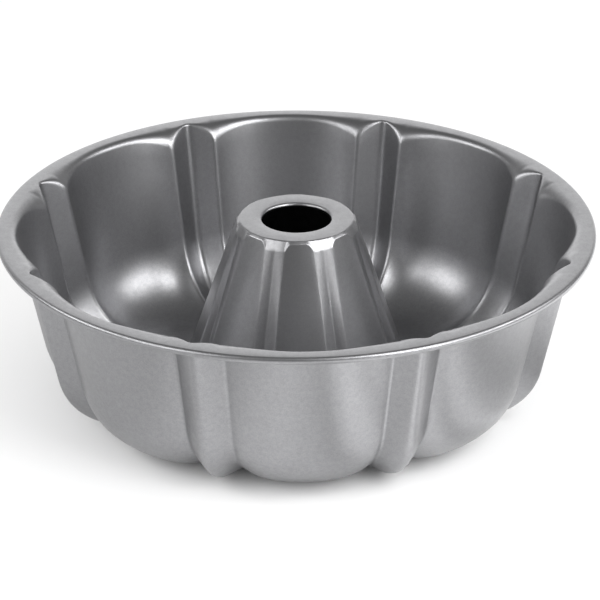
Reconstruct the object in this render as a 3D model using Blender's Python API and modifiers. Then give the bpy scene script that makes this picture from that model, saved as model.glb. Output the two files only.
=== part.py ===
"""Fluted tube pan: one drawn steel sheet, with a wire rolled into its rim.

Metres, degrees, +Z up. The origin is on the pan's axis, on the surface that the pan stands on.
"""
import math

import bpy
import numpy as np

# Sheet and rim. The bead is rolled round the wire until its edge is a gap away from the flange.
SHEET = 0.0005
WIRE_RADIUS = 0.0007
WIRE_CLEARANCE = 0.00035
BEAD_GAP = 0.0005
FLANGE_WIDTH = 0.0036

# Bowl, all on the cavity side of the sheet and at the middle of a lobe
CAVITY_DEPTH = 0.0786
WALL_LEAN = 11.6
WALL_FOOT_RADIUS = 0.0346
FLOOR_WIDTH = 0.0110
RIM_FILLET = 0.0035

# Centre tube, which stands a little higher than the rim. Its shoulder is a flat facet between two
# rounded edges, and the shoulder's radius is of the circle that the ring, the facet and the tube touch.
TUBE_RISE = 0.0018
TUBE_LEAN = 18.6
TUBE_FOOT_RADIUS = 0.016
TUBE_SHOULDER = 0.0027
SHOULDER_EDGE = 0.0021
RING_WIDTH = 0.0072
HOLE_RADIUS = 0.01476
HOLE_LIP_RADIUS = 0.0012
HOLE_LIP_DEPTH = 0.0008

# Channels. Each is a vee between two ridges, and runs from the rim over the floor and up the tube.
# It is wider further from the axis: half of its width is the start plus the growth times the radius.
# A vee's depth is how far it stands out of the cavity beyond the lobe's middle,
# and a ridge's height is how far it stands into the cavity from there.
# On the floor the depth is below zero, so that the pan stands on the level lobes.
FLUTES = 8
HALF_WIDTH_START = 0.0016
HALF_WIDTH_GROWTH = 0.078
WALL_VEE_DEPTH = 0.0009
WALL_RIDGE_HEIGHT = 0.0057
FLOOR_VEE_DEPTH = -0.0003
FLOOR_RIDGE_HEIGHT = 0.0029
TUBE_VEE_DEPTH = 0.0018
TUBE_RIDGE_HEIGHT = 0.0009
CREASE_ROUNDING = 0.0020
RIDGE_ROUNDING = 0.0005
TUBE_ROUNDING = 0.0004

# Half of the angle over which a lobe's floor is level
LEVEL_ANGLE = 8.0

# Corner radii in a channel, at its vee and at its ridges, where they differ from the lobe's
VEE_WALL_FOOT = 0.0325
VEE_RIM_FILLET = 0.0012
RIDGE_RIM_FILLET = 0.0085
VEE_SHOULDER = 0.0036
RIDGE_SHOULDER = 0.0040
CHANNEL_SHOULDER_EDGE = 0.0016

# Degrees beyond a ridge over which a corner's radius changes to the lobe's
RIM_REACH = 5.5
SHOULDER_REACH = 6.5

# Facets. The finer ones, across a channel, end at this many times the ridge's angle.
CHANNEL_REACH = 1.5
CHANNEL_STEPS = 3
LOBE_STEPS = 3
LIP_STEPS = 2
EDGE_STEPS = 1
TUBE_FOOT_STEPS = 4
WALL_FOOT_STEPS = 5
FILLET_STEPS = 3
BEAD_STEPS = 7
WIRE_FACETS = 96
WIRE_SIDES = 6
SHARP_EDGE = 40.0


def ridge_angle(radius):
    """Degrees from a channel's middle to its ridge, at this distance from the pan's axis."""
    return np.degrees(HALF_WIDTH_START / radius + HALF_WIDTH_GROWTH)


def angles_round_the_pan(ridge):
    """Angles from the front lobe's middle, closer together across each channel."""
    half_pitch = 180.0 / FLUTES
    channel_edge = CHANNEL_REACH * ridge
    channel = np.linspace(0.0, channel_edge, CHANNEL_STEPS + 1)
    lobe = np.linspace(channel_edge, half_pitch, LOBE_STEPS + 1)[1:]
    side = np.concatenate([channel, lobe])
    flute = np.concatenate([-side[:0:-1], side[:-1]])
    channels = half_pitch + 2.0 * half_pitch * np.arange(FLUTES)
    return (channels[:, None] + flute[None, :]).ravel()


def from_nearest_channel(angles):
    """Degrees from the middle of the nearest channel, always positive."""
    pitch = 360.0 / FLUTES
    return np.abs((angles + pitch) % pitch - pitch / 2.0)


def section(away, radius, ridge, vee_depth, ridge_height, crease, crest, level_angle=0.0):
    """How far the sheet stands out of the cavity, at angles away from a channel's middle.

    The vee's straight flanks meet the lobe's curve at the ridge. A parabola rounds the bottom of the vee
    over the crease's width, and another rounds the ridge where the two are less than crest apart.
    """
    along = np.radians(away) * radius
    ridge_start = math.radians(ridge) * radius
    level_start = math.radians(180.0 / FLUTES - level_angle) * radius
    slope = (vee_depth + ridge_height) / (ridge_start - crease / 2.0)
    run = np.where(along < crease, along ** 2 / (2.0 * crease), along - crease / 2.0)
    vee = vee_depth - slope * run
    lobe = -ridge_height * (np.maximum(level_start - along, 0.0) / (level_start - ridge_start)) ** 2
    overlap = np.maximum(crest - np.abs(vee - lobe), 0.0)
    return np.maximum(vee, lobe) + overlap ** 2 / (4.0 * crest)


def ease(value, start, end):
    """0 before the start, 1 after the end, and a smooth curve between them."""
    share = np.clip((value - start) / (end - start), 0.0, 1.0)
    return share * share * (3.0 - 2.0 * share)


def corner_radius(away, ridge, reach, at_vee, at_ridge, on_lobe):
    """A corner's radius, which changes from the vee to the ridge and from there to the lobe."""
    to_ridge = ease(away, 0.0, ridge)
    to_lobe = ease(away, ridge, ridge + reach)
    return at_vee + (at_ridge - at_vee) * to_ridge + (on_lobe - at_ridge) * to_lobe


def corner_run(lean):
    """Length of a unit arc, measured level, that turns a wall of this lean into a level face."""
    return (1.0 - np.sin(lean)) / np.cos(lean)


def point(radius, height):
    """One point of every profile, as a column of radii and a column of heights."""
    return radius[:, None], height[:, None]


def arc(centre_r, centre_z, radius, start, end, steps):
    """Points of an arc after its first, for angles in radians."""
    share = np.linspace(0.0, 1.0, steps + 1)[None, 1:]
    angle = start[:, None] * (1.0 - share) + end[:, None] * share
    radii = centre_r[:, None] + radius[:, None] * np.cos(angle)
    heights = centre_z[:, None] + radius[:, None] * np.sin(angle)
    return radii, heights


def radii_on_a_lobe():
    """Radii at the middle of a lobe, chained outwards from the hole.

    They are the ring's end, the tube's face at the floor, the wall's face at the rim and the bead's centre.
    """
    tube_lean = math.radians(TUBE_LEAN)
    wall_lean = math.radians(WALL_LEAN)
    ring_end = HOLE_RADIUS + HOLE_LIP_RADIUS + RING_WIDTH
    tube_top = ring_end + TUBE_SHOULDER * corner_run(tube_lean)
    tube_floor = tube_top + (CAVITY_DEPTH + TUBE_RISE) * math.tan(tube_lean)
    floor_start = tube_floor + TUBE_FOOT_RADIUS * corner_run(tube_lean)
    floor_end = floor_start + FLOOR_WIDTH
    wall_floor = floor_end + WALL_FOOT_RADIUS * corner_run(wall_lean)
    wall_top = wall_floor + CAVITY_DEPTH * math.tan(wall_lean)
    flange_start = wall_top + RIM_FILLET * corner_run(wall_lean)
    return ring_end, tube_floor, wall_top, flange_start + FLANGE_WIDTH


def turned_with_ridges(angles, ridge, radii):
    """The angle of every profile point, so that a profile follows its ridge at each radius."""
    half_pitch = 180.0 / FLUTES
    away = from_nearest_channel(angles)
    side = np.sign(angles % (2.0 * half_pitch) - half_pitch)
    here = ridge_angle(radii)
    in_channel = here * (away / ridge)[:, None]
    on_lobe = here + (half_pitch - here) * ((away - ridge) / (half_pitch - ridge))[:, None]
    turned = np.where(in_channel < here, in_channel, on_lobe)
    return (angles - side * away)[:, None] + side[:, None] * turned


def sheet_profiles(angles, ridge):
    """Radii and heights of the sheet's cavity side, from the hole's edge out to the bead's edge.

    Each row is the profile at one angle. The bead's centre, as radius and height, comes with them.
    """
    one = np.ones_like(angles)
    away = from_nearest_channel(angles)
    quarter = math.pi / 2.0
    floor_z = SHEET
    rim_z = floor_z + CAVITY_DEPTH
    top_z = rim_z + TUBE_RISE
    bead_radius = WIRE_RADIUS + WIRE_CLEARANCE + SHEET
    ring_end, tube_floor, wall_top, bead_centre = radii_on_a_lobe()

    # The same places at every angle, moved by the channels
    tube_floor_r = tube_floor - section(
        away, tube_floor, ridge, TUBE_VEE_DEPTH, TUBE_RIDGE_HEIGHT, TUBE_ROUNDING, TUBE_ROUNDING)
    floor = floor_z - section(
        away, wall_top, ridge, FLOOR_VEE_DEPTH, FLOOR_RIDGE_HEIGHT, CREASE_ROUNDING, RIDGE_ROUNDING,
        LEVEL_ANGLE)
    wall_top_r = wall_top + section(
        away, wall_top, ridge, WALL_VEE_DEPTH, WALL_RIDGE_HEIGHT, CREASE_ROUNDING, RIDGE_ROUNDING)
    shoulder = corner_radius(away, ridge, SHOULDER_REACH, VEE_SHOULDER, RIDGE_SHOULDER, TUBE_SHOULDER)
    edge = corner_radius(
        away, ridge, SHOULDER_REACH, CHANNEL_SHOULDER_EDGE, CHANNEL_SHOULDER_EDGE, SHOULDER_EDGE)
    sweep = corner_radius(away, ridge, RIM_REACH, VEE_WALL_FOOT, WALL_FOOT_RADIUS, WALL_FOOT_RADIUS)
    fillet = corner_radius(away, ridge, RIM_REACH, VEE_RIM_FILLET, RIDGE_RIM_FILLET, RIM_FILLET)
    wall = math.radians(WALL_LEAN) * one

    # Hole and ring
    lip_r = (HOLE_RADIUS + HOLE_LIP_RADIUS) * one
    lip_z = (top_z - HOLE_LIP_RADIUS) * one
    pieces = [
        point(HOLE_RADIUS * one, lip_z - HOLE_LIP_DEPTH),
        point(HOLE_RADIUS * one, lip_z),
        arc(lip_r, lip_z, HOLE_LIP_RADIUS * one, math.pi * one, quarter * one, LIP_STEPS),
        point(ring_end * one, top_z * one)]

    # Shoulder. The tube's face is the line from its foot that touches the shoulder's circle.
    across = tube_floor_r - ring_end
    down = top_z - shoulder - floor_z
    lean = np.arctan2(across, down) - np.arcsin(shoulder / np.hypot(across, down))
    facet = (quarter + lean) / 2.0
    lower_r = ring_end + (shoulder - edge) * np.cos(lean)
    lower_z = top_z - shoulder + (shoulder - edge) * np.sin(lean)
    pieces += [
        arc(ring_end * one, top_z - edge, edge, quarter * one, facet, EDGE_STEPS),
        point(lower_r + edge * np.cos(facet), lower_z + edge * np.sin(facet)),
        arc(lower_r, lower_z, edge, facet, lean, EDGE_STEPS)]

    # Tube's foot
    foot = TUBE_FOOT_RADIUS * one
    foot_z = floor + foot
    foot_r = tube_floor_r + np.tan(lean) * (floor_z - floor) + foot * corner_run(lean)
    pieces += [
        point(foot_r - foot * np.cos(lean), foot_z - foot * np.sin(lean)),
        arc(foot_r, foot_z, foot, math.pi + lean, 3.0 * quarter * one, TUBE_FOOT_STEPS)]

    # Floor and wall
    sweep_r = wall_top_r - np.tan(wall) * (rim_z - floor) - sweep * corner_run(wall)
    fillet_r = wall_top_r + fillet * corner_run(wall)
    fillet_z = rim_z - fillet
    pieces += [
        point(sweep_r, floor),
        arc(sweep_r, floor + sweep, sweep, -quarter * one, -wall, WALL_FOOT_STEPS),
        point(fillet_r - fillet * np.cos(wall), fillet_z + fillet * np.sin(wall))]

    # Rim
    bead_r = bead_centre * one
    bead_z = rim_z - bead_radius
    bead_end = -math.pi - math.asin((bead_radius - SHEET - BEAD_GAP) / bead_radius)
    pieces += [
        arc(fillet_r, fillet_z, fillet, math.pi - wall, quarter * one, FILLET_STEPS),
        point(bead_r, rim_z * one),
        arc(bead_r, bead_z * one, bead_radius * one, quarter * one, bead_end * one, BEAD_STEPS)]

    radii = np.concatenate([piece[0] for piece in pieces], axis=1)
    heights = np.concatenate([piece[1] for piece in pieces], axis=1)
    return radii, heights, bead_centre, bead_z


def lofted_sheet(name, turns, radii, heights):
    """A mesh through the profiles, open at the hole and at the bead, with its faces towards the cavity."""
    turn = np.radians(turns)
    points = np.stack([radii * np.sin(turn), -radii * np.cos(turn), heights], axis=-1)
    rows, columns = radii.shape
    here = np.arange(rows)[:, None] * columns + np.arange(columns - 1)[None, :]
    after = np.roll(here, -1, axis=0)
    faces = np.stack([here, here + 1, after + 1, after], axis=-1).reshape(-1, 4)
    mesh = bpy.data.meshes.new(name)
    mesh.from_pydata(points.reshape(-1, 3).tolist(), [], faces.tolist())
    mesh.shade_smooth()
    mesh.set_sharp_from_angle(angle=math.radians(SHARP_EDGE))
    return mesh


def metal(name, colour, roughness):
    material = bpy.data.materials.new(name)
    material.use_nodes = True
    shader = material.node_tree.nodes["Principled BSDF"]
    shader.inputs["Base Color"].default_value = (*colour, 1.0)
    shader.inputs["Metallic"].default_value = 1.0
    shader.inputs["Roughness"].default_value = roughness
    return material


def make_body(collection, turns, radii, heights):
    """The drawn sheet: hole, tube, floor, wall, flange and bead in one piece."""
    body = bpy.data.objects.new("pan_body", lofted_sheet("pan_body", turns, radii, heights))
    body.data.materials.append(metal("grey non-stick coat on steel", (0.43, 0.43, 0.44), 0.36))
    collection.objects.link(body)
    thickness = body.modifiers.new("Sheet", "SOLIDIFY")
    thickness.thickness = SHEET
    thickness.offset = -1.0
    thickness.use_even_offset = True
    thickness.use_quality_normals = True


def make_wire(collection, bead_centre, bead_z):
    """The wire ring that the bead is rolled round."""
    bpy.ops.mesh.primitive_torus_add(
        location=(0.0, 0.0, bead_z), major_radius=bead_centre, minor_radius=WIRE_RADIUS,
        major_segments=WIRE_FACETS, minor_segments=WIRE_SIDES)
    wire = bpy.context.object
    wire.name = "rim_wire"
    wire.data.name = "rim_wire"
    wire.data.shade_smooth()
    wire.data.materials.append(metal("drawn steel wire", (0.45, 0.45, 0.44), 0.45))
    for owner in list(wire.users_collection):
        owner.objects.unlink(wire)
    collection.objects.link(wire)


def main():
    for old in list(bpy.data.objects):
        bpy.data.objects.remove(old, do_unlink=True)
    collection = bpy.data.collections.new("fluted_tube_pan")
    bpy.context.scene.collection.children.link(collection)
    wall_top = radii_on_a_lobe()[2]
    ridge = ridge_angle(wall_top)
    angles = angles_round_the_pan(ridge)
    radii, heights, bead_centre, bead_z = sheet_profiles(angles, ridge)
    make_body(collection, turned_with_ridges(angles, ridge, radii), radii, heights)
    make_wire(collection, bead_centre, bead_z)
    print("rim diameter %.1f mm, overall height %.1f mm" % (2000.0 * radii.max(), 1000.0 * heights.max()))


main()
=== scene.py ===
# Fluted tube pan: its looks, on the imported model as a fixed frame.
# Metres, +Z up. The pan's axis is the Z axis, and it stands on z = 0.

import math

import bpy
import numpy as np
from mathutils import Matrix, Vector


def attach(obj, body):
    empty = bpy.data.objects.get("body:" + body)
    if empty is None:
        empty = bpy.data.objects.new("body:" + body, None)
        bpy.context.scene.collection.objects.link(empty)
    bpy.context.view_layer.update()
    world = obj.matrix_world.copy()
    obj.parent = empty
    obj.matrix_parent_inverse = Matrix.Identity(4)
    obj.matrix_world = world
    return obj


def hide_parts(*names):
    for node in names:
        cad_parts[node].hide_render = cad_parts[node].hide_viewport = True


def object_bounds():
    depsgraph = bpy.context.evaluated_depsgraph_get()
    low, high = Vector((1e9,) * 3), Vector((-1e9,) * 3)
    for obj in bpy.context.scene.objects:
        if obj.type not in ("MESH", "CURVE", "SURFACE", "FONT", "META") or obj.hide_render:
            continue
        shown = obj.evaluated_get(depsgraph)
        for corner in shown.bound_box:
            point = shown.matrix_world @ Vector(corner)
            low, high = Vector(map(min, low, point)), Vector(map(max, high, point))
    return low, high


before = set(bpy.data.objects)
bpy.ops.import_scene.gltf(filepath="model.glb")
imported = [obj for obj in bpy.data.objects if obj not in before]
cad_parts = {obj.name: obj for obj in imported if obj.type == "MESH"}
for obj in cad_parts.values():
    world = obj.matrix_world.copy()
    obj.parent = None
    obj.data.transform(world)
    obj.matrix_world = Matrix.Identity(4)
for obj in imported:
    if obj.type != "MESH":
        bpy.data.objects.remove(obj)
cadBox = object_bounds()
print("frame loaded:", sorted(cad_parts))


# Small helpers

def toLinear(hexColour):
    # each sRGB channel c becomes c / 12.92 in the darkest part and ((c + 0.055) / 1.055) ** 2.4 above it
    channels = [int(hexColour[i:i + 2], 16) / 255.0 for i in (1, 3, 5)]
    linear = [c / 12.92 if c <= 0.04045 else ((c + 0.055) / 1.055) ** 2.4 for c in channels]
    return (*linear, 1.0)


def addNode(tree, kind, settings=None, inputs=None):
    # one node, its settings, and for each input, by name or number, a value or the socket that feeds it
    node = tree.nodes.new(kind)
    for name, value in (settings or {}).items():
        setattr(node, name, value)
    for name, value in (inputs or {}).items():
        if isinstance(value, bpy.types.NodeSocket):
            tree.links.new(value, node.inputs[name])
        else:
            node.inputs[name].default_value = value
    return node


# a Mix node's sockets for colours share their names with those for numbers, so they go by number
colourMix = {"a": 6, "b": 7, "result": 2}


def newMaterial(name):
    material = bpy.data.materials.new(name)
    material.use_nodes = True
    material.node_tree.nodes.clear()
    return material


# The drawn sheet

sheet = {
    "thickness": 0.0005,
    "beadRadius": 0.00155,
    "beadGap": 0.0005,        # between the bead's edge and the flange's underside
    "flangeWidth": 0.0036,
    "cavityDepth": 0.0786,
    "wallLean": 11.6,         # degrees, as every angle here
    "floorWidth": 0.0110,
    "tubeRise": 0.0018,
    "tubeLean": 18.6,
    "tubeFoot": 0.016,
    "ringWidth": 0.0083,
    "ringStep": 0.0008,       # from the ring's edge out to where the tube's face would meet the ring's level
    "holeRadius": 0.01476,
    "holeLip": 0.0012,
    "holeLipDepth": 0.0008,
}

channel = {
    "count": 8,
    # from the vee's bottom to a ridge: a length plus a share of the radius, and never less than the third
    "halfWidth": (0.0016, 0.078, 0.0043),
    "wallVee": 0.0009,
    "wallRidge": 0.0057,
    "floorVee": -0.0003,
    "floorRidge": 0.0029,
    "tubeVee": 0.0018,
    "tubeRidge": 0.0009,
    "tubeTopVee": -0.0002,
    "tubeTopRidge": 0.0004,
    "crease": 0.0020,
    "crest": 0.0007,
    "tubeCrease": 0.0004,
    "levelAngle": 8.0,        # over a lobe's middle the floor is level this far to each side
    "lobePower": 2.4,         # 2 is a parabola, and more bends the lobe's sides and leaves its middle flatter
}

# corner sizes at a vee's bottom, at a ridge and on a lobe, and the degrees beyond the ridge where the lobe's
# is reached
corner = {
    "rim": (0.0012, 0.0100, 0.0035, 10.0),
    "wallFoot": (0.0325, 0.0346, 0.0346, 7.0),
    "shoulderDrop": (0.0039, 0.0038, 0.0010, 7.7),
    "ringEdge": (0.0010, 0.0010, 0.0006, 7.7),
    "shoulderFoot": (0.0060, 0.0060, 0.0012, 7.7),
}

grid = {
    "channelReach": 2.0,      # in half widths of a channel, with a profile on each ridge
    "channelSteps": 20,
    "lobeSteps": 8,
    "level": 2,               # steps along the ring's, the floor's and the flange's level stretch
    "lip": 4,
    "shoulder": 6,
    "tube": 6,
    "tubeFoot": 10,
    "wallFoot": 18,
    "wall": 8,
    "fillet": 8,
    "bead": 18,
}


def panAngles(ridgeAway):
    # degrees from the front lobe's middle, with short even steps across a channel and longer ones on a lobe
    halfPitch = 180.0 / channel["count"]
    channelEdge = grid["channelReach"] * ridgeAway
    fine = np.linspace(0.0, channelEdge, grid["channelSteps"] + 1)
    coarse = np.linspace(channelEdge, halfPitch, grid["lobeSteps"] + 1)[1:]
    side = np.concatenate([fine, coarse])
    flute = np.concatenate([-side[:0:-1], side[:-1]])
    middles = halfPitch + 2.0 * halfPitch * np.arange(channel["count"])
    return (middles[:, None] + flute[None, :]).ravel()


def ridgeAngle(radius):
    # half width over radius, in degrees
    start, growth, least = channel["halfWidth"]
    return np.degrees(np.maximum(start / radius + growth, least / radius))


def stepOut(away, radius, ridgeAway, vee, ridge, crease, crest, levelAngle=0.0):
    # how far the sheet stands out of the cavity: the larger of a vee with a parabola at its bottom and
    # a lobe whose curve is a power of the distance from its middle, blended by a parabola where they cross
    along = np.radians(away) * radius
    ridgeAt = math.radians(ridgeAway) * radius
    levelAt = math.radians(180.0 / channel["count"] - levelAngle) * radius
    slope = (vee + ridge) / (ridgeAt - crease / 2.0)
    flank = vee - slope * np.where(along < crease, along ** 2 / (2.0 * crease), along - crease / 2.0)
    lobe = -ridge * (np.maximum(levelAt - along, 0.0) / (levelAt - ridgeAt)) ** channel["lobePower"]
    overlap = np.maximum(crest - np.abs(flank - lobe), 0.0)
    return np.maximum(flank, lobe) + overlap ** 2 / (4.0 * crest)


def cornerRadius(away, ridgeAway, radii):
    # the vee's size, then the ridge's, then the lobe's: two parabolas, level at the vee and on the lobe,
    # which make an arch over each flank
    vee, ridge, lobe, reach = radii
    toRidge = np.minimum(away / ridgeAway, 1.0) ** 2
    toLobe = 1.0 - (1.0 - np.clip((away - ridgeAway) / reach, 0.0, 1.0)) ** 2
    return vee + (ridge - vee) * toRidge + (lobe - ridge) * toLobe


def cornerRun(lean):
    # level length of a unit arc that turns a wall of this lean into a level face
    return (1.0 - np.sin(lean)) / np.cos(lean)


def straightTo(start, end, steps):
    # points after the first on the line between two columns of points
    share = np.linspace(0.0, 1.0, steps + 1)[None, 1:]
    return tuple(a[:, None] * (1.0 - share) + b[:, None] * share for a, b in zip(start, end))


def arcOf(centreR, centreZ, radius, start, end, steps, first=0):
    # points of an arc about a centre, at angles shared out evenly between start and end
    share = np.linspace(0.0, 1.0, steps + 1)[None, first:]
    turn = start[:, None] * (1.0 - share) + end[:, None] * share
    return (centreR[:, None] + radius[:, None] * np.cos(turn),
            centreZ[:, None] + radius[:, None] * np.sin(turn))


def panProfiles():
    # one meridian profile for each angle: hole's edge, tube, floor, wall, flange and bead
    s, c = sheet, channel
    pitch = 360.0 / c["count"]
    quarter = math.pi / 2.0
    tubeLean, wallLean = math.radians(s["tubeLean"]), math.radians(s["wallLean"])
    floorZ = s["thickness"]
    rimZ = floorZ + s["cavityDepth"]
    topZ = rimZ + s["tubeRise"]

    # radii at a lobe's middle, chained outwards from the hole
    ringEnd = s["holeRadius"] + s["holeLip"] + s["ringWidth"]
    tubeTop = ringEnd + s["ringStep"]
    tubeFloor = tubeTop + (topZ - floorZ) * math.tan(tubeLean)
    floorEnd = tubeFloor + s["tubeFoot"] * cornerRun(tubeLean) + s["floorWidth"]
    wallTop = floorEnd + corner["wallFoot"][2] * cornerRun(wallLean) + s["cavityDepth"] * math.tan(wallLean)
    beadCentre = wallTop + corner["rim"][2] * cornerRun(wallLean) + s["flangeWidth"]
    ridgeAway = ridgeAngle(wallTop)
    angles = panAngles(ridgeAway)
    away = np.abs((angles + pitch) % pitch - pitch / 2.0)
    one = np.ones_like(angles)

    # the same places at every angle, moved by the channels
    tubeTopR = tubeTop - stepOut(away, tubeTop, ridgeAway, c["tubeTopVee"], c["tubeTopRidge"],
                                 c["tubeCrease"], c["tubeCrease"])
    tubeFloorR = tubeFloor - stepOut(away, tubeFloor, ridgeAway, c["tubeVee"], c["tubeRidge"],
                                     c["tubeCrease"], c["tubeCrease"])
    floor = floorZ - stepOut(away, wallTop, ridgeAway, c["floorVee"], c["floorRidge"],
                             c["crease"], c["crest"], c["levelAngle"])
    wallTopR = wallTop + stepOut(away, wallTop, ridgeAway, c["wallVee"], c["wallRidge"],
                                 c["crease"], c["crest"])
    drop = cornerRadius(away, ridgeAway, corner["shoulderDrop"])
    upper = cornerRadius(away, ridgeAway, corner["ringEdge"])
    lower = cornerRadius(away, ridgeAway, corner["shoulderFoot"])
    sweep = cornerRadius(away, ridgeAway, corner["wallFoot"])
    fillet = cornerRadius(away, ridgeAway, corner["rim"])
    wall = wallLean * one
    lean = np.arctan2(tubeFloorR - tubeTopR, topZ - floorZ)

    # hole and ring
    lipR, lipZ = (s["holeRadius"] + s["holeLip"]) * one, (topZ - s["holeLip"]) * one
    edgeR, edgeZ = s["holeRadius"] * one, lipZ - s["holeLipDepth"]
    pieces = [(edgeR[:, None], edgeZ[:, None])]
    pieces.append(arcOf(lipR, lipZ, s["holeLip"] * one, math.pi * one, quarter * one, grid["lip"]))

    # shoulder: a facet from the ring's edge down to the tube's face, with both of its corners rounded
    facetR, facetZ = tubeTopR + np.tan(lean) * drop, topZ - drop
    slope = np.arctan2(drop, facetR - ringEnd)
    upperR = ringEnd - upper * np.tan(slope / 2.0)
    back = lower * np.tan((quarter - lean - slope) / 2.0)
    lowerR = facetR - back * np.cos(slope) - lower * np.sin(slope)
    lowerZ = facetZ + back * np.sin(slope) - lower * np.cos(slope)
    pieces.append(straightTo((lipR, topZ * one), (upperR, topZ * one), grid["level"]))
    pieces.append(arcOf(upperR, topZ - upper, upper, quarter * one, quarter - slope, grid["shoulder"], 1))
    pieces.append(arcOf(lowerR, lowerZ, lower, quarter - slope, lean, grid["shoulder"]))

    # tube
    foot = s["tubeFoot"] * one
    footR = tubeFloorR + np.tan(lean) * (floorZ - floor) + foot * cornerRun(lean)
    tubeStart = (lowerR + lower * np.cos(lean), lowerZ + lower * np.sin(lean))
    tubeEnd = (footR - foot * np.cos(lean), floor + foot - foot * np.sin(lean))
    pieces.append(straightTo(tubeStart, tubeEnd, grid["tube"]))
    pieces.append(arcOf(footR, floor + foot, foot, math.pi + lean, 3.0 * quarter * one, grid["tubeFoot"], 1))

    # floor and wall
    sweepR = wallTopR - np.tan(wall) * (rimZ - floor) - sweep * cornerRun(wall)
    filletR = wallTopR + fillet * cornerRun(wall)
    wallStart = (sweepR + sweep * np.cos(wall), floor + sweep - sweep * np.sin(wall))
    wallEnd = (filletR - fillet * np.cos(wall), rimZ - fillet + fillet * np.sin(wall))
    pieces.append(straightTo((footR, floor), (sweepR, floor), grid["level"]))
    pieces.append(arcOf(sweepR, floor + sweep, sweep, -quarter * one, -wall, grid["wallFoot"], 1))
    pieces.append(straightTo(wallStart, wallEnd, grid["wall"]))

    # rim
    beadR, beadZ = beadCentre * one, (rimZ - s["beadRadius"]) * one
    beadEnd = -math.pi - math.asin((s["beadRadius"] - s["thickness"] - s["beadGap"]) / s["beadRadius"])
    pieces.append(arcOf(filletR, rimZ - fillet, fillet, math.pi - wall, quarter * one, grid["fillet"], 1))
    pieces.append(straightTo((filletR, rimZ * one), (beadR, rimZ * one), grid["level"]))
    pieces.append(arcOf(beadR, beadZ, s["beadRadius"] * one, quarter * one, beadEnd * one, grid["bead"], 1))
    radii = np.concatenate([p[0] for p in pieces], axis=1)
    heights = np.concatenate([p[1] for p in pieces], axis=1)

    # a ridge is at one angle at the wall's top, and at every other radius the profiles turn with it
    ridgeNow = ridgeAngle(radii)
    inChannel = away[:, None] / ridgeAway
    onLobe = (away[:, None] - ridgeAway) / (pitch / 2.0 - ridgeAway)
    turned = np.where(inChannel < 1.0, ridgeNow * inChannel, ridgeNow + (pitch / 2.0 - ridgeNow) * onLobe)
    side = np.sign(angles % pitch - pitch / 2.0)
    turns = (angles - side * away)[:, None] + side[:, None] * turned
    return turns, radii, heights


def sheetMesh(name, turns, radii, heights):
    # each profile point turned about the axis: x = r sin(turn), y = -r cos(turn)
    turn = np.radians(turns)
    points = np.stack([radii * np.sin(turn), -radii * np.cos(turn), heights], axis=-1)
    rows, columns = radii.shape
    here = np.arange(rows)[:, None] * columns + np.arange(columns - 1)[None, :]
    after = np.roll(here, -1, axis=0)
    faces = np.stack([here, here + 1, after + 1, after], axis=-1).reshape(-1, 4)
    mesh = bpy.data.meshes.new(name)
    mesh.from_pydata(points.reshape(-1, 3), [], faces)
    mesh.shade_smooth()
    return mesh


turns, radii, heights = panProfiles()
panSheet = bpy.data.objects.new("pan_sheet", sheetMesh("pan_sheet", turns, radii, heights))
bpy.context.scene.collection.objects.link(panSheet)
solid = panSheet.modifiers.new("sheet thickness", "SOLIDIFY")
solid.thickness = sheet["thickness"]
solid.offset = -1.0
solid.use_even_offset = True
solid.use_quality_normals = True
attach(panSheet, "root")
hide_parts("pan_body")
print("pan sheet: %d profiles of %d points" % radii.shape)


# Silicone-modified non-stick coat, sprayed on steel and baked: a soft metallic grey with a fine grain
# and a faint mottle, which keep its highlights from looking polished. Inside the tube a dark grey is painted
# over it as shade.
coat = {
    "colour": "#A0A0A2",
    "dark": "#949496",
    "metallic": 1.0,
    "roughness": 0.36,
    "roughnessSpread": 0.03,
    "grainSize": 0.0005,      # a flake and its neighbours, drawn about twice as coarse as they are
    "grainDetail": 2.0,
    "grainDepth": 0.00001,
    "mottleSize": 0.0020,
    "mottleDetail": 3.0,
    "mottleDepth": 0.000014,
    "noiseRoughness": 0.6,
    "noiseRange": (0.35, 0.65),  # what the noise mostly spans, stretched to the whole change
    "mottleShare": 0.5,
    # a dark grey painted over the coat inside the tube, as the tube's shade
    "tubeShadeColour": "#3C3C3E",
    "tubeShadeFacing": -0.5,       # painted shade where the normal's part along the way out from the axis is less
    "tubeShadeUpTo": (0.046, 0.060),  # metres from the axis where the painted shade starts to fade and where it has gone
    "tubeShadeBelow": (0.0796, 0.0802),  # heights in the hole's lip below which the shade is painted in full and above which it has gone
}


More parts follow.
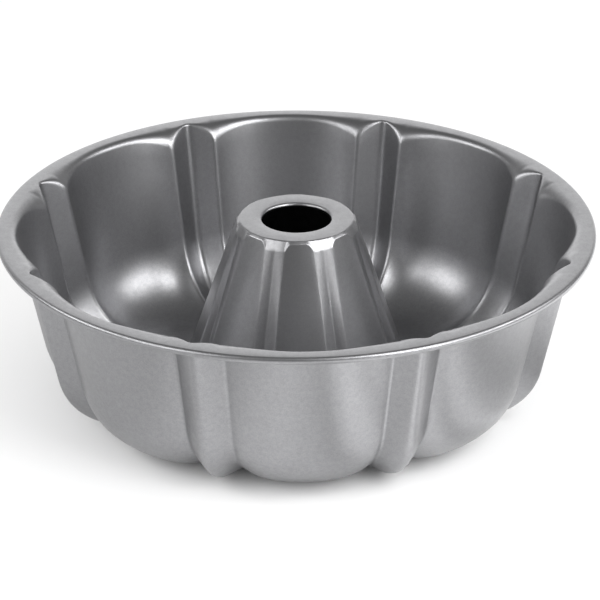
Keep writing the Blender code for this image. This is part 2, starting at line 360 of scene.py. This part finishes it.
def nonStickCoat():
    material = newMaterial("sprayed metallic non-stick coat")
    tree = material.node_tree
    place = addNode(tree, "ShaderNodeTexCoord")
    grain = addNode(tree, "ShaderNodeTexNoise", {"noise_dimensions": "3D"}, {
        "Vector": place.outputs["Object"], "Scale": 1.0 / coat["grainSize"],
        "Detail": coat["grainDetail"], "Roughness": coat["noiseRoughness"]})
    mottle = addNode(tree, "ShaderNodeTexNoise", {"noise_dimensions": "3D"}, {
        "Vector": place.outputs["Object"], "Scale": 1.0 / coat["mottleSize"],
        "Detail": coat["mottleDetail"], "Roughness": coat["noiseRoughness"]})
    both = addNode(tree, "ShaderNodeMix", {"data_type": "FLOAT"}, {
        "Factor": coat["mottleShare"], "A": grain.outputs["Fac"], "B": mottle.outputs["Fac"]})
    low, high = coat["noiseRange"]
    tone = addNode(tree, "ShaderNodeMapRange", {}, {
        "Value": both.outputs["Result"], "From Min": low, "From Max": high})
    colour = addNode(tree, "ShaderNodeMix", {"data_type": "RGBA"}, {
        "Factor": tone.outputs["Result"],
        colourMix["a"]: toLinear(coat["dark"]), colourMix["b"]: toLinear(coat["colour"])})
    rough = addNode(tree, "ShaderNodeMapRange", {}, {
        "Value": both.outputs["Result"], "From Min": low, "From Max": high,
        "To Min": coat["roughness"] + coat["roughnessSpread"],
        "To Max": coat["roughness"] - coat["roughnessSpread"]})
    fine = addNode(tree, "ShaderNodeBump", {}, {
        "Height": grain.outputs["Fac"], "Distance": coat["grainDepth"], "Strength": 1.0})
    bump = addNode(tree, "ShaderNodeBump", {}, {
        "Height": mottle.outputs["Fac"], "Distance": coat["mottleDepth"], "Strength": 1.0,
        "Normal": fine.outputs["Normal"]})

    # inside the tube the surface faces the axis, so its normal points against the way out from there
    axes = addNode(tree, "ShaderNodeSeparateXYZ", {}, {"Vector": place.outputs["Object"]})
    level = addNode(tree, "ShaderNodeCombineXYZ", {}, {"X": axes.outputs["X"], "Y": axes.outputs["Y"]})
    fromAxis = addNode(tree, "ShaderNodeVectorMath", {"operation": "LENGTH"}, {0: level.outputs["Vector"]})
    outward = addNode(tree, "ShaderNodeVectorMath", {"operation": "NORMALIZE"}, {0: level.outputs["Vector"]})
    facing = addNode(tree, "ShaderNodeVectorMath", {"operation": "DOT_PRODUCT"}, {
        0: place.outputs["Normal"], 1: outward.outputs["Vector"]})
    inward = addNode(tree, "ShaderNodeMath", {"operation": "LESS_THAN"}, {
        0: facing.outputs["Value"], 1: coat["tubeShadeFacing"]})
    near = addNode(tree, "ShaderNodeMapRange", {"interpolation_type": "SMOOTHSTEP"}, {
        "Value": fromAxis.outputs["Value"], "From Min": coat["tubeShadeUpTo"][0], "From Max": coat["tubeShadeUpTo"][1],
        "To Min": 1.0, "To Max": 0.0})
    under = addNode(tree, "ShaderNodeMapRange", {"interpolation_type": "SMOOTHSTEP"}, {
        "Value": axes.outputs["Z"], "From Min": coat["tubeShadeBelow"][0], "From Max": coat["tubeShadeBelow"][1],
        "To Min": 1.0, "To Max": 0.0})
    inTube = addNode(tree, "ShaderNodeMath", {"operation": "MULTIPLY"}, {
        0: near.outputs["Result"], 1: under.outputs["Result"]})
    paintedTubeShade = addNode(tree, "ShaderNodeMath", {"operation": "MULTIPLY"}, {
        0: inward.outputs["Value"], 1: inTube.outputs["Value"]})
    # the tube's shade, painted as a dark grey over the coat's colour
    coatAndTubeShade = addNode(tree, "ShaderNodeMix", {"data_type": "RGBA"}, {
        "Factor": paintedTubeShade.outputs["Value"],
        colourMix["a"]: colour.outputs[colourMix["result"]], colourMix["b"]: toLinear(coat["tubeShadeColour"])})

    shader = addNode(tree, "ShaderNodeBsdfPrincipled", {}, {
        "Base Color": coatAndTubeShade.outputs[colourMix["result"]], "Metallic": coat["metallic"],
        "Roughness": rough.outputs["Result"], "Normal": bump.outputs["Normal"]})
    addNode(tree, "ShaderNodeOutputMaterial", {}, {"Surface": shader.outputs["BSDF"]})
    return material


panSheet.data.materials.append(nonStickCoat())


# Drawn steel wire inside the bead: it hardly shows, a dull grey with a faint mottle
wire = {
    "colour": "#A9A8A5",
    "roughness": 0.42,
    "roughnessSpread": 0.08,
    "mottleScale": 900.0,     # per metre, so a patch is about a millimetre
    "mottleDetail": 3.0,
}


def drawnWire():
    material = newMaterial("drawn steel wire")
    tree = material.node_tree
    place = addNode(tree, "ShaderNodeTexCoord")
    mottle = addNode(tree, "ShaderNodeTexNoise", {}, {
        "Vector": place.outputs["Object"], "Scale": wire["mottleScale"], "Detail": wire["mottleDetail"]})
    rough = addNode(tree, "ShaderNodeMapRange", {}, {
        "Value": mottle.outputs["Fac"],
        "To Min": wire["roughness"] - wire["roughnessSpread"],
        "To Max": wire["roughness"] + wire["roughnessSpread"]})
    shader = addNode(tree, "ShaderNodeBsdfPrincipled", {}, {
        "Base Color": toLinear(wire["colour"]), "Metallic": 1.0, "Roughness": rough.outputs["Result"]})
    addNode(tree, "ShaderNodeOutputMaterial", {}, {"Surface": shader.outputs["BSDF"]})
    return material


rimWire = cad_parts["rim_wire"]
rimWire.data.materials.clear()
rimWire.data.materials.append(drawnWire())
print("materials ready")


# Floor, background, lamps and camera
studio = {
    "floorColour": "#F2F2F2",
    "floorRoughness": 0.9,
    "floorSpecular": 0.1,
    "floorSize": 6.0,
    "floorGap": 0.0001,       # under the pan, so that no two faces share a plane
    "floorGlow": (0.07, 0.18, 0.6),  # metres from the axis where it starts and where it is full, and how much
    # the glow's strength in reflections, at metres from left to right
    "floorStrips": ((-0.20, 0.90), (-0.10, 0.56), (-0.045, 1.20), (-0.022, 1.40), (0.0, 1.04),
                    (0.022, 0.14), (0.042, 2.30), (0.058, 2.50),
                    (0.074, 0.45), (0.095, 2.40), (0.112, 0.88), (0.13, 0.06), (0.20, 0.68)),
    "background": "#FFFFFF",
    "fill": 0.74,             # the world's strength for matt surfaces
    "front": 0.18,            # its strength in reflections on the camera's side and overhead
    "behind": 1.58,           # and behind the pan
    "turn": (0.6, 0.95),      # a direction's Y where front starts to turn to behind, and where it has
    "lampTarget": (0.0, 0.0, 0.04),
    # name: place, width and depth, power in watts
    "lamps": {
        "right": ((0.64, -0.70, 0.78), (0.50, 1.00), 10.2),
        "left": ((-0.74, -0.61, 0.66), (0.40, 0.80), 3.4),
        "right high": ((0.86, -0.10, 0.60), (0.60, 0.40), 3.5),
        "left high": ((-0.87, 0.0, 0.60), (0.60, 0.40), 3.0),
    },
}

view = {
    "distance": 1.09816,      # from the middle of the rim
    "elevation": 24.40,
    "azimuth": -2.6,
    "lens": 154.89,           # millimetres, as the sensor's width
    "sensor": 36.0,
    "clip": (0.05, 50.0),
    "rimAt": (296.42, 221.21),  # pixel of the rim's middle, in a square image
    "imageSize": 600.0,
}


def seenRays(tree):
    # 1 for rays from the camera, and 1 for those reflected or let through on the way to it
    path = addNode(tree, "ShaderNodeLightPath")
    mirrored = addNode(tree, "ShaderNodeMath", {"operation": "MAXIMUM"}, {
        0: path.outputs["Is Glossy Ray"], 1: path.outputs["Is Transmission Ray"]})
    return path.outputs["Is Camera Ray"], mirrored.outputs["Value"]


def makeFloor():
    # matt paper, partly lifted to the background's white away from the pan, so that the shadow stays
    size = studio["floorSize"]
    corners = np.array([(-1, -1, 0), (1, -1, 0), (1, 1, 0), (-1, 1, 0)], dtype=float) * (size / 2.0)
    mesh = bpy.data.meshes.new("floor")
    mesh.from_pydata(corners, [], [(0, 1, 2, 3)])
    material = newMaterial("matt white paper")
    tree = material.node_tree
    shader = addNode(tree, "ShaderNodeBsdfPrincipled", {}, {
        "Base Color": toLinear(studio["floorColour"]), "Roughness": studio["floorRoughness"],
        "Specular IOR Level": studio["floorSpecular"]})
    cameraRay, mirroredRay = seenRays(tree)
    seen = addNode(tree, "ShaderNodeMath", {"operation": "MAXIMUM"}, {0: cameraRay, 1: mirroredRay})
    place = addNode(tree, "ShaderNodeTexCoord")
    fromAxis = addNode(tree, "ShaderNodeVectorMath", {"operation": "LENGTH"}, {0: place.outputs["Object"]})
    start, full, share = studio["floorGlow"]
    lifted = addNode(tree, "ShaderNodeMapRange", {"interpolation_type": "SMOOTHSTEP"}, {
        "Value": fromAxis.outputs["Value"], "From Min": start, "From Max": full,
        "To Min": 0.0, "To Max": share})
    factor = addNode(tree, "ShaderNodeMath", {"operation": "MULTIPLY"}, {
        0: lifted.outputs["Result"], 1: seen.outputs["Value"]})

    # in reflections the glow's strength changes from left to right: one stop of the ramp for each strip,
    # and the two stops that a new ramp has go
    axes = addNode(tree, "ShaderNodeSeparateXYZ", {}, {"Vector": place.outputs["Object"]})
    places, levels = np.array(studio["floorStrips"]).T
    along = addNode(tree, "ShaderNodeMapRange", {}, {
        "Value": axes.outputs["X"], "From Min": places[0], "From Max": places[-1]})
    strips = addNode(tree, "ShaderNodeValToRGB", {}, {"Fac": along.outputs["Result"]})
    ramp = strips.color_ramp
    ramp.interpolation = "EASE"
    for position, level in zip((places - places[0]) / (places[-1] - places[0]), levels / levels.max()):
        stop = ramp.elements.new(position)
        stop.color = (level, level, level, 1.0)
    ramp.elements.remove(ramp.elements[0])
    ramp.elements.remove(ramp.elements[-1])
    mirrored = addNode(tree, "ShaderNodeMath", {"operation": "MULTIPLY"}, {
        0: strips.outputs["Color"], 1: levels.max()})
    strength = addNode(tree, "ShaderNodeMix", {"data_type": "FLOAT"}, {
        "Factor": cameraRay, "A": mirrored.outputs["Value"], "B": 1.0})
    glow = addNode(tree, "ShaderNodeEmission", {}, {
        "Color": toLinear(studio["background"]), "Strength": strength.outputs["Result"]})
    both = addNode(tree, "ShaderNodeMixShader", {}, {
        0: factor.outputs["Value"], 1: shader.outputs["BSDF"], 2: glow.outputs["Emission"]})
    addNode(tree, "ShaderNodeOutputMaterial", {}, {"Surface": both.outputs["Shader"]})
    mesh.materials.append(material)
    floorObject = bpy.data.objects.new("floor", mesh)
    bpy.context.scene.collection.objects.link(floorObject)
    floorObject.location = (0.0, 0.0, min(0.0, cadBox[0][2]) - studio["floorGap"])


def makeWorld():
    # white for the camera, light behind and dark in front in reflections, and one level for the rest
    world = bpy.data.worlds.new("studio")
    bpy.context.scene.world = world
    world.use_nodes = True
    tree = world.node_tree
    tree.nodes.clear()
    cameraRay, mirroredRay = seenRays(tree)
    place = addNode(tree, "ShaderNodeTexCoord")
    axes = addNode(tree, "ShaderNodeSeparateXYZ", {}, {"Vector": place.outputs["Generated"]})
    behind = addNode(tree, "ShaderNodeMapRange", {}, {
        "Value": axes.outputs["Y"], "From Min": studio["turn"][0], "From Max": studio["turn"][1],
        "To Min": studio["front"], "To Max": studio["behind"]})
    others = addNode(tree, "ShaderNodeMix", {"data_type": "FLOAT"}, {
        "Factor": mirroredRay, "A": studio["fill"], "B": behind.outputs["Result"]})
    strength = addNode(tree, "ShaderNodeMix", {"data_type": "FLOAT"}, {
        "Factor": cameraRay, "A": others.outputs["Result"], "B": 1.0})
    background = addNode(tree, "ShaderNodeBackground", {}, {
        "Color": toLinear(studio["background"]), "Strength": strength.outputs["Result"]})
    addNode(tree, "ShaderNodeOutputWorld", {}, {"Surface": background.outputs["Background"]})


def makeLamps():
    target = Vector(studio["lampTarget"])
    for name, (place, size, power) in studio["lamps"].items():
        lamp = bpy.data.lights.new(name, "AREA")
        lamp.shape = "RECTANGLE"
        lamp.size, lamp.size_y = size
        lamp.energy = power
        holder = bpy.data.objects.new(name, lamp)
        bpy.context.scene.collection.objects.link(holder)
        holder.location = place
        holder.rotation_euler = (target - Vector(place)).to_track_quat("-Z", "Y").to_euler()


def makeCamera():
    # aimed so that the rim's middle lands on its pixel, with the image plane square to the line of sight
    rimMiddle = Vector((0.0, 0.0, sheet["thickness"] + sheet["cavityDepth"]))
    elevation, azimuth = math.radians(view["elevation"]), math.radians(view["azimuth"])
    outward = Vector((math.cos(elevation) * math.sin(azimuth), -math.cos(elevation) * math.cos(azimuth),
                      math.sin(elevation)))
    camera = bpy.data.cameras.new("camera")
    camera.sensor_width = view["sensor"]
    camera.lens = view["lens"]
    camera.clip_start, camera.clip_end = view["clip"]
    holder = bpy.data.objects.new("camera", camera)
    bpy.context.scene.collection.objects.link(holder)
    holder.location = rimMiddle + outward * view["distance"]

    # from the centre of the image to the rim's pixel, as a share of the focal length in pixels
    focal = view["lens"] / view["sensor"] * view["imageSize"]
    right = (view["rimAt"][0] - view["imageSize"] / 2.0) / focal
    up = (view["imageSize"] / 2.0 - view["rimAt"][1]) / focal
    toRim = (rimMiddle - holder.location).to_track_quat("-Z", "Y")
    offset = Vector((right, up, -1.0)).rotation_difference(Vector((0.0, 0.0, -1.0)))
    holder.rotation_euler = (toRim @ offset).to_euler()
    bpy.context.scene.camera = holder


makeFloor()
makeWorld()
makeLamps()
makeCamera()
bpy.context.scene.view_settings.view_transform = "Standard"
print("studio ready")
